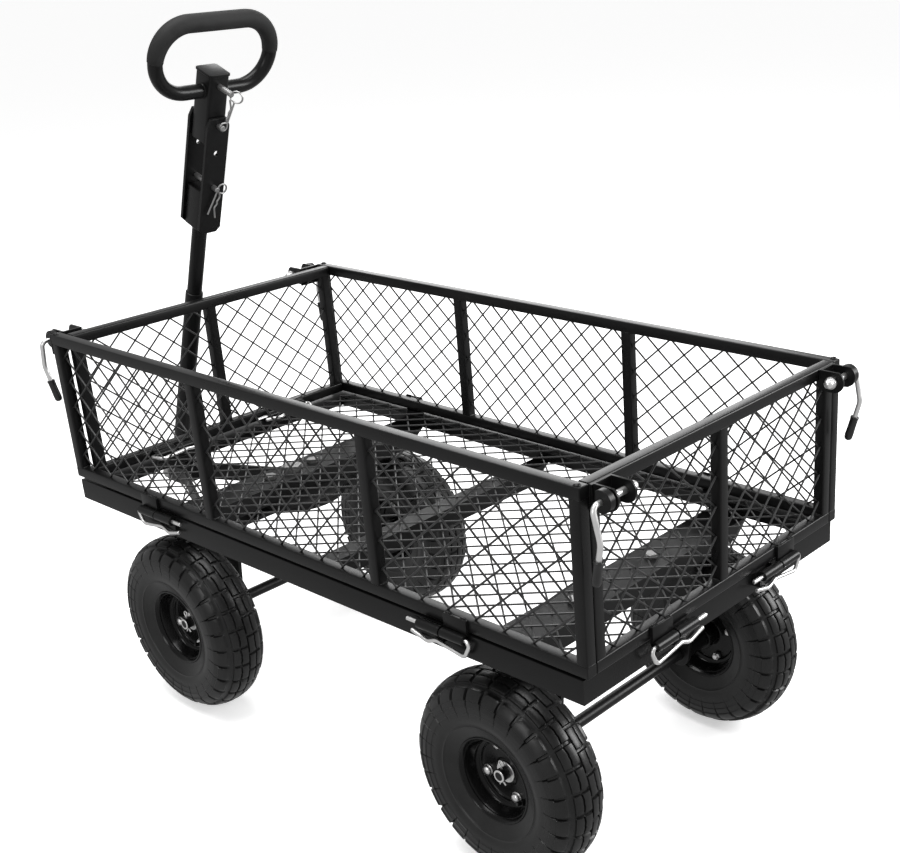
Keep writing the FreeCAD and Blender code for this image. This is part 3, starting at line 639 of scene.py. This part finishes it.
# ---------------------------------------------------------------- corner latches, drawn at the rear left
def latch_lever():
    """The spindle, the lever that bends down from it, and the hex nut with its dome."""
    x, z = -LATCH[0], LATCH[1]
    path = rounded([(x, 200, z), (x, 249, z), LEVER_BEND, LEVER_END], [8, 20], 9)
    dome = [(0.4, 180.6), (2.6, 181), (4.6, 182.6), (5.6, 185), (5.8, 188.6), (7.6, 189.2), (7.6, 190.6),
            (0.4, 190.6)]
    return [wire(path, 3.2, (0.97, 0.05, 0.2), 14, 0.8), wire([(x, 190, z), (x, 236, z)], 4.0, (0, 0, 1), 20),
            hex_head((x, 195.5, z), (0, -1, 0), 14.6, 7.0), lathe((x, 0, z), (0, 1, 0), dome, 28, True)]


def latch_cam():
    """The D-shaped cam: a disc of radius r cut by a flat in front of the spindle."""
    x, z = -LATCH[0], LATCH[1]
    r, flat = 12.4, 7.0
    a = np.linspace(math.acos(flat / r), TAU - math.acos(flat / r), 36)
    disc = r * np.stack([np.cos(a), np.sin(a)], 1)
    path = [(x, y, z) for y in (227, 227.8, 235.2, 236)]
    return [swept(path, disc, (0, 0, 1), scale=[0.94, 1, 1, 0.94])]


def latch_grip():
    """Dipped sleeve on the lever's end: a tube with a lip on top and a round nose."""
    down = unit(LEVER_END - LEVER_BEND)
    outline = [(0.5, -29), (5.0, -29), (5.5, -28.4), (5.5, -27), (5.1, -26), (5.0, -17), (5.3, -5), (5.1, -1),
               (4.2, 1.4), (2.4, 2.7), (0.5, 3)]
    return [lathe(LEVER_END, down, outline, 24, True)]


# ---------------------------------------------------------------- wheels, drawn on the left
def tyre(x):
    """Block-tread tyre. The section is a superellipse, |w / 41.4|^2.2 + |(r - 92) / b|^2.2 =
    1 with b = 38 above and 48 below, cut off at the beads; t is the arc length from the
    crown. The tread is a height over that section along its normal: four rows of rounded
    blocks and stepped shoulder lugs repeat 28 times round the tyre, the right half staggered
    by half a pitch, and ramps of t and of the place s along the pitch cut the grooves."""
    n = 2.2
    theta = np.radians(np.linspace(-140.5, 140.5, 1601))
    sin, cos = np.sin(theta), np.cos(theta)
    w = 41.4 * np.sign(sin) * np.abs(sin) ** (2 / n)
    r = 92 + np.where(cos > 0, 38.0, 48.0) * np.sign(cos) * np.abs(cos) ** (2 / n)
    arc = np.concatenate([[0], np.cumsum(np.hypot(np.diff(w), np.diff(r)))])
    arc -= arc[-1] / 2
    half = np.array([0, 0.55, 1.25, 2.4, 6.2, 10, 11.15, 11.85, 12.5, 13.15, 13.85, 15, 18.8, 22.4, 23.6,
                     24.4, 26, 28.4, 30, 31.5, 33.2, 35.5, 39, 43, 46, 47.2, 48, 52, 55.5, 56.3, 60, 64,
                     64.9, 69, 73, 77, 80, 82, 83.2, 84.4, 87, 91, 96, 101, 104.6])
    t = np.concatenate([-half[:0:-1], half])
    turns = 28
    pitch = TAU * TYRE_R / turns
    mid = pitch / 2
    quarter = np.array([0, 1.5, 2.9, 4.8, 7.3, 9.8, mid - 2.9, mid - 1.5])
    stops = np.concatenate([quarter, [mid], mid + quarter[1:]])
    s = stops[:, None]
    size = np.abs(t)[None]

    def ramp(v, low, high):
        return np.clip((v - low) / (high - low), 0, 1)
    own = np.abs((s - np.where(t >= 0, 0.0, mid)[None] + mid) % pitch - mid)
    gap = ramp(size, 11.1, 11.9) * (1 - ramp(size, 13.1, 13.9))
    rows = ramp(size, 0.5, 1.3) * (1 - gap) * (1 - ramp(size, 23.5, 24.5))
    row_edge = np.minimum(np.abs((size % 12.6) - 0.2), np.abs(12.8 - (size % 12.6)))
    worn = 0.5 * (1 - ramp(own, 2.5, 5.5)) * (1 - ramp(row_edge, 1.0, 4.5))
    blocks = -3.3 + 3.3 * rows * ramp(own, 1.4, 2.8) - worn * rows
    steps = -1.5 * ramp(size, 47.1, 48.1) - 1.2 * ramp(size, 55.4, 56.4) - 0.9 * ramp(size, 63.9, 65.0)
    cut = np.where(size < 47.6, ramp(own, 1.4, 2.9), ramp(own, 0.4, 1.5))
    lugs = steps * cut + (1 - cut) * np.where(size < 47.6, -3.4, np.minimum(steps - 1.0, -3.6))
    lugs = lugs - 1.1 * (1 - ramp(own, 2.9, 6.5)) * (1 - ramp(size, 33.0, 37.5)) * cut
    lugs = -3.0 + (lugs + 3.0) * ramp(size, 29.5, 33.4)
    line, swell = 1 - np.abs(size - 83.2) / 1.3, 1 - np.abs(size - 73) / 2.2
    carcass = -3.6 + 0.8 * np.clip(line, 0, 1) + 0.4 * np.clip(swell, 0, 1)
    height = np.where(size < 27, blocks, np.where(size < 65.2, lugs, carcass + 0 * s))
    height = height * ramp(106.4 - size, 0, 12)
    jog = 0.75 * np.sin(own / mid * TAU) * np.exp(-((size - 12.5) / 2.2) ** 2)
    here = t[None] + np.sign(t)[None] * jog
    step = 0.4
    wt, rt = np.interp(here, arc, w), np.interp(here, arc, r)
    dw = np.interp(here + step, arc, w) - np.interp(here - step, arc, w)
    dr = np.interp(here + step, arc, r) - np.interp(here - step, arc, r)
    size_of = np.hypot(dw, dr)
    wt, rt = wt - dr / size_of * height, rt + dw / size_of * height
    rt = np.where(rt > TYRE_R, TYRE_R, rt)
    wall = np.array([(53.6, 27.6), (51.2, 25), (50.3, 22), (50.3, 18), (62, 27), (80, 34), (100, 33),
                     (116, 20)])
    inner = np.concatenate([wall, [(121, 0)], wall[::-1] * (1, -1)])
    wt = np.concatenate([wt, np.broadcast_to(inner[:, 1], (len(stops), len(inner)))], 1)
    rt = np.concatenate([rt, np.broadcast_to(inner[:, 0], (len(stops), len(inner)))], 1)
    angle = ((np.arange(turns)[:, None] * pitch + stops[None]) / TYRE_R).reshape(-1, 1)
    wt, rt = np.tile(wt, (turns, 1)), np.tile(rt, (turns, 1))
    points = np.stack([x + rt * np.cos(angle), WHEEL_Y + wt, TYRE_R + rt * np.sin(angle)], -1)
    return [(points, True, True, "")]


def rim(x):
    """Two pressed halves spun about the axle, a rolled lip, a coned barrel, a
    ridge and a flat disc, with the hub tube and a valve stem in the barrel."""
    outline = np.array([(54.6, 24.2), (56, 26.4), (56.3, 28), (55.3, 29.1), (53.7, 29), (51.9, 27.3),
                        (48.9, 20), (46.6, 10.5), (45.2, 6.9), (43.9, 6.0), (42, 6.0), (40.6, 5.3),
                        (39.9, 3.3), (39, 2.1), (37.5, 1.5), (26, 1.5), (19, 1.6), (17, 2.0),
                        (16.2, 2.9), (15.8, 2.9), (15.8, 0.05), (44.6, 0.05), (47.4, 6), (49.2, 17),
                        (49.95, 18), (49.95, 23.9), (52, 24.1)])
    centre = (x, WHEEL_Y, TYRE_R)
    grids = [lathe(centre, (0, s, 0), outline, 96) for s in (1, -1)]
    grids.append(sleeve(centre, (0, 1, 0), 16, 8.1, -26, 3.5, 48, 0.8))
    a = math.radians(205)
    foot = np.array([x + 45.5 * math.cos(a), WHEEL_Y + 12, TYRE_R + 45.5 * math.sin(a)])
    lean = unit(np.array([-0.35 * math.cos(a), 1.0, -0.35 * math.sin(a)]))
    stem = [(0.5, -4), (5.2, -4), (5.2, 0.5), (4.2, 2), (3.6, 8), (3.4, 13), (2.6, 13.4), (2.6, 18.5),
            (2.2, 19), (0.5, 19)]
    grids.append(lathe(foot - lean * 3, lean, stem, 20, True))
    return grids


def rim_bolts(x):
    """Four hex bolts through the disc, each with a round washer, a domed tip and a nut behind."""
    grids = []
    out = np.array([0, 1.0, 0])
    head = [(0.4, 2.4), (6.3, 2.4), (6.6, 3), (6.2, 5.4), (4.8, 6.9), (2.6, 7.6), (0.4, 7.8)]
    tip = [(0.4, 1), (4, 1), (4, 9), (3.2, 9.9), (0.4, 10)]
    for i in range(RIM_BOLTS):
        a = math.radians(70 + 360 / RIM_BOLTS * i)
        at = np.array([x + BOLT_CIRCLE * math.cos(a), WHEEL_Y, TYRE_R + BOLT_CIRCLE * math.sin(a)])
        grids.append(sleeve(at, out, 7.4, 3, 1.5, 2.5, 28, 0.3))
        grids.append(lathe(at, out, head, 28, True))
        grids.append(hex_head(at - out * 1.5, -out, 12.4, 5.8))
        grids.append(lathe(at, -out, tip, 20, True))
    return grids


# ---------------------------------------------------------------- axle ends
def axle_ends(x):
    """Washer, bare chamfer of the axle's end and split pin outside
    each wheel; the pin's eye is on top and its legs spread below."""
    grids = []
    for s in (1, -1):
        end = np.array([x, s * PIN_Y, TYRE_R])
        grids.append(sleeve((x, s * 208.7, TYRE_R), (0, s, 0), 13.6, 8.1, 0, 2.2, 40, 0.4))
        grids.append(sleeve((x, s * 221.2, TYRE_R), (0, s, 0), 8.15, 5.6, 0, 1.1, 40, 0.5))
        a = np.radians(np.linspace(-62, 242, 19))
        eye = end + np.stack([3.6 * np.cos(a), 0 * a, 15 + 3.6 * np.sin(a)], 1)
        legs = [end + (0.9, 0, 9), end + (0.8, 0, -9), end + (4.2, 0, -15)]
        first = [end + (-5.2, 0, -13.4), end + (-0.8, 0, -9), end + (-0.9, 0, 9)]
        path = np.concatenate([first, eye[::-1], legs])
        grids.append(wire(path, 0.95, (0, 1, 0), 10, 0.3))
    return grids


# ---------------------------------------------------------------- handle, drawn upright over its hinge
def loop_line(from_gap):
    """The loop's middle line in the YZ plane: two straight runs joined by two half circles. It
    starts and ends so far from the middle below, or where there is no gap, only its upper half."""
    steps = 18
    low, high = LOOP_Z
    r, mid, f = (high - low) / 2, (high + low) / 2, LOOP_FLAT
    a = np.radians(np.linspace(-90, 90, 2 * steps + 1))[:, None]
    right = np.concatenate([0 * a, f + r * np.cos(a), mid + r * np.sin(a)], 1)
    left = (right * (1, -1, 1))[::-1]
    top = np.array([(0, y, high) for y in np.linspace(f, -f, 9)[1:-1]])
    if from_gap is None:
        return np.concatenate([right[steps:], top, left[:steps + 1]])
    return np.concatenate([[(0, from_gap, low)], right, top, left, [(0, -from_gap, low)]])


def grip_sleeve():
    """Foam round the loop's upper half: fat in the middle,
    drawn in over the last stretch to each cut end."""
    path = loop_line(None)
    run = np.concatenate([[0], np.cumsum(np.linalg.norm(np.diff(path, axis=0), axis=1))])
    from_end = np.minimum(run, run[-1] - run)
    radius = 10.7 + 1.8 * (1 - np.exp(-from_end / 26.0))
    first, last = path[:1] - (0, 0, 0.9), path[-1:] - (0, 0, 0.9)
    path = np.concatenate([first, path, last])
    radius = np.concatenate([[radius[0] - 0.6], radius, [radius[-1] - 0.6]])
    return [swept(path, circle(1.0, 28), (1, 0, 0), scale=radius)]


def head_shell():
    """The head's rounded box tube, open below, with its
    walls turned in, and a thin cap with a small overhang."""
    outer, inner = rounded_box(34, 32, 4.0, 5), rounded_box(29, 27, 2.5, 5)
    rings = [(outer * 0.985, 597), (outer, 598), (outer, 695), (inner, 694.9), (inner, 597)]
    points = np.stack([np.concatenate([shape, np.full((len(shape), 1), float(h))], 1) for shape, h in rings])
    lid = [(0.96, 695), (1, 695.7), (1, 698.2), (0.985, 698.8), (0.95, 699)]
    cap = rounded_box(36, 35, 4.5, 5)
    top = np.stack([np.concatenate([cap * k, np.full((len(cap), 1), float(h))], 1) for k, h in lid])
    weld = [(9, -0.5), (11.0, -0.2), (10.9, 0.9), (10.4, 1.8), (9, 2.2)]
    collars = [lathe((0, s * 16, LOOP_Z[0]), (0, s, 0), weld, 32) for s in (1, -1)]
    return [(points, True, True, ""), (top, False, True, "u")] + collars


def cross_pin(h, rear=-33.0, front=23.0):
    """A pin through the clevis with a domed head in front."""
    outline = [(0.4, rear), (3.2, rear), (4, rear + 0.9), (4, front), (6.6, front), (7, front + 0.6),
               (6.2, front + 2.1), (3.5, front + 2.9), (0.4, front + 3)]
    return lathe((0, 0, h), (1, 0, 0), outline, 28, True)


def spring_clip(h, y, turn, size):
    """A spring clip hanging on a pin: a ring, a straight leg and a wavy
    leg that crosses it and flares; drawn about the ring's middle with its
    legs along +Y, then turned in the plate's plane and set at height h."""
    a = np.radians(np.linspace(60, 395, 22))
    ring = np.stack([5.6 * np.cos(a), 5.6 * np.sin(a)], 1)
    back = np.array([(10.5, -1.0), (16, 1.1), (19.5, -0.8), (24, 1.4), (28.5, -1.0), (36, -5.6)])
    flat = smooth(np.concatenate([[(34.5, 4.6), (24, 4.6), (11.5, 4.6)], ring, back])) * size
    angle = math.radians(turn)
    across = flat[:, 0] * math.cos(angle) - flat[:, 1] * math.sin(angle)
    rise = flat[:, 0] * math.sin(angle) + flat[:, 1] * math.cos(angle)
    depth = np.linspace(1.2, -1.2, len(flat))
    return wire(np.stack([-29 + depth, y + across, h + rise], 1), 1.3, (1, 0, 0), 10, 0.4)


def smooth(p):
    """Corner cutting, twice: each pass puts two points on every
    run, a quarter in from its ends, and keeps the path's ends."""
    for _ in range(2):
        pairs = np.stack([p[:-1] * 0.75 + p[1:] * 0.25, p[:-1] * 0.25 + p[1:] * 0.75], 1)
        p = np.concatenate([p[:1], pairs.reshape(-1, p.shape[1])[1:-1], p[-1:]])
    return p


def split_ring():
    """A ring of two turns side by side that hangs from a hole near the hitch pin's tip."""
    grids = []
    for shift in (-0.5, 0.5):
        a = np.arange(40) * TAU / 40
        across, rise = np.cos(a), np.sin(a)
        path = np.stack([-49 - 6.8 * across, -4.6 - 5 * across + shift, 679.5 + 8.4 * rise], 1)
        grids.append(swept(path, circle(0.9, 8), (0.5, -0.85, 0), shut=True))
    return grids


def lower_tube():
    """The lower tube with its eye."""
    eye = sleeve((0, 0, 0), (0, 1, 0), 16, 5.1, -15.8, 15.8, 48, 0.8)
    outline = [(0.5, 12), (13, 12), (13, 341.5), (12.6, 343.4), (11.6, 344), (0.5, 344)]
    return [eye, lathe((0, 0, 0), (0, 0, 1), outline, 40, True)]


def upper_tube():
    """The thinner upper tube with the square block on its end and a weld ring between them."""
    stem = lathe((0, 0, 0), (0, 0, 1), [(0.5, 300), (11, 300), (11, 458), (0.5, 458)], 40, True)
    block = bar((0, 0, 459), (0, 0, 521), 30, 36, 3.5, (1, 0, 0), 0.9)
    weld = [(10, 455.6), (12, 455.8), (13.2, 457.4), (13.4, 459), (10, 459.2)]
    ring = lathe((0, 0, 0), (0, 0, 1), weld, 40)
    return [stem, block, ring]


# ---------------------------------------------------------------- finishes
paint = powder_coat("frame_powder", 0.0045, 0.25)
mesh_paint = powder_coat("mesh_powder", 0.008, 0.32, 0.6)
rim_paint = powder_coat("rim_powder", 0.003, 0.14)
under_paint = powder_coat("underside_powder", 0.005, 0.32)
tread = rubber("tyre_compound", 0.006)
bright = zinc("bright_zinc", 0.90, 0.24)
plated = zinc("plated_hardware", 0.46, 0.34)
vinyl = dipped_vinyl("dipped_vinyl")
soft_foam = foam("closed_cell_foam")

camera()
studio()

# ---------------------------------------------------------------- bed
piece("bed_angle_frame", angle_frame(), paint, "bed", "frame_paint", "bed_side_rails", "bed_end_rails")
piece("floor_wires", diamond_wires((-463, -228, 327.9), (1, 0, 0), (0, 1, 0), 904, 456), mesh_paint, "bed",
      "mesh_paint", "floor_mesh")
piece("hinge_hairpin_wires", [hairpin(o, a, d) for k, o, a, out, d in hinge_spots()], bright, "bed", "zinc",
      "hinge_hairpins")
for node, finish, edge in (
        ("bed_hinge_barrels", paint, 0.5), ("cross_beams", under_paint, 0.8),
        ("upper_turntable_plate", under_paint, 0.8), ("kingpin", plated, 0.7),
        ("frame_bolts", plated, 0.7), ("rear_axle_bracket", under_paint, 0.8),
        ("rear_axle", under_paint, 0.8), ("lower_turntable_plate", under_paint, 0.8),
        ("front_axle_bracket", under_paint, 0.8), ("front_axle", under_paint, 0.8),
        ("steering_arm_left", under_paint, 0.7), ("steering_arm_right", under_paint, 0.7),
        ("tongue_bolt", plated, 0.6), ("clevis_plates", paint, 0.9),
        ("front_left_latch_bracket", paint, 0.5), ("front_right_latch_bracket", paint, 0.5),
        ("rear_latch_brackets", paint, 0.5)):
    softened(node + "_edged", node, finish, "zinc" if finish is plated else "frame_paint", edge)

# ---------------------------------------------------------------- sides, gates and latches
for name, sign in (("left", 1), ("right", -1)):
    side = name + "_side"
    piece(side + "_tubes", side_panel(sign), paint, side, "frame_paint", side + "_frame")
    piece(side + "_wires", side_wires(sign), mesh_paint, side, "mesh_paint", side + "_mesh")
for name, x in (("rear", -SIDE_L + TUBE / 2), ("front", 470 - TUBE / 2)):
    gate = name + "_gate"
    piece(gate + "_tubes", gate_panel(x, name), paint, gate, "frame_paint", gate + "_frame")
    piece(gate + "_wires", gate_wires(x), mesh_paint, gate, "mesh_paint", gate + "_mesh")
for end in ("rear", "front"):
    for side in ("left", "right"):
        def place(grids):
            grids = mirrored(grids, 0) if end == "front" else grids
            return mirrored(grids, 1) if side == "right" else grids
        corner = end + "_" + side + "_latch"
        piece(corner + "_wire", place(latch_lever()), bright, corner, "zinc", corner + "_lever")
        piece(corner + "_cam", place(latch_cam()), paint, corner, "frame_paint")
        piece(corner + "_sleeve", place(latch_grip()), vinyl, corner, "vinyl", corner + "_grip")

# ---------------------------------------------------------------- wheels and axles
for end, x in AXLES.items():
    for side in ("left", "right"):
        def place(grids):
            return mirrored(grids, 1) if side == "right" else grids
        wheel = end + "_" + side
        piece(wheel + "_tread_tyre", place(tyre(x)), tread, wheel + "_wheel", "tyre_rubber", wheel + "_tyre",
              smooth_angle=30.0)
        piece(wheel + "_pressed_rim", place(rim(x)), rim_paint, wheel + "_wheel", "rim_paint", wheel + "_rim")
        piece(wheel + "_rim_bolts", place(rim_bolts(x)), bright, wheel + "_wheel", "zinc", wheel + "_bolts")
    piece(end + "_axle_ends", axle_ends(x), bright, BODY_OF[end + "_axle"], "zinc", end + "_axle_retainers")

# ---------------------------------------------------------------- handle
piece("handle_lower_tube", leaned(lower_tube()), paint, "handle", "frame_paint", "lower_shaft")
piece("handle_upper_tube", leaned(upper_tube()), paint, "handle", "frame_paint", "upper_shaft")
piece("clevis_cross_pins", leaned([cross_pin(626), cross_pin(531)]), plated, "handle", "zinc", "clevis_pins")
clips = [spring_clip(627, -3.4, 107, 1.1), spring_clip(530, -11.0, -69, 1.25)]
piece("clevis_spring_clips", leaned(clips), plated, "handle", "zinc", "pin_clips")
piece("handle_head_tube", leaned(head_shell()), paint, "handle_head", "frame_paint", "head_tube")
piece("handle_loop_tube", leaned([swept(loop_line(14.0), circle(10, 28), (1, 0, 0))]), paint, "handle_head",
      "frame_paint", "handle_loop")
grip = piece("handle_foam_sleeve", leaned(grip_sleeve()), soft_foam, "handle_head", "foam", "foam_grip")
piece("hitch_pin_domed", leaned([cross_pin(681.5, -45.0, 17.0)]), plated, "handle_head", "zinc", "hitch_pin")
piece("hitch_pin_split_ring", leaned(split_ring()), plated, "handle_head", "zinc", "hitch_pin_ring")
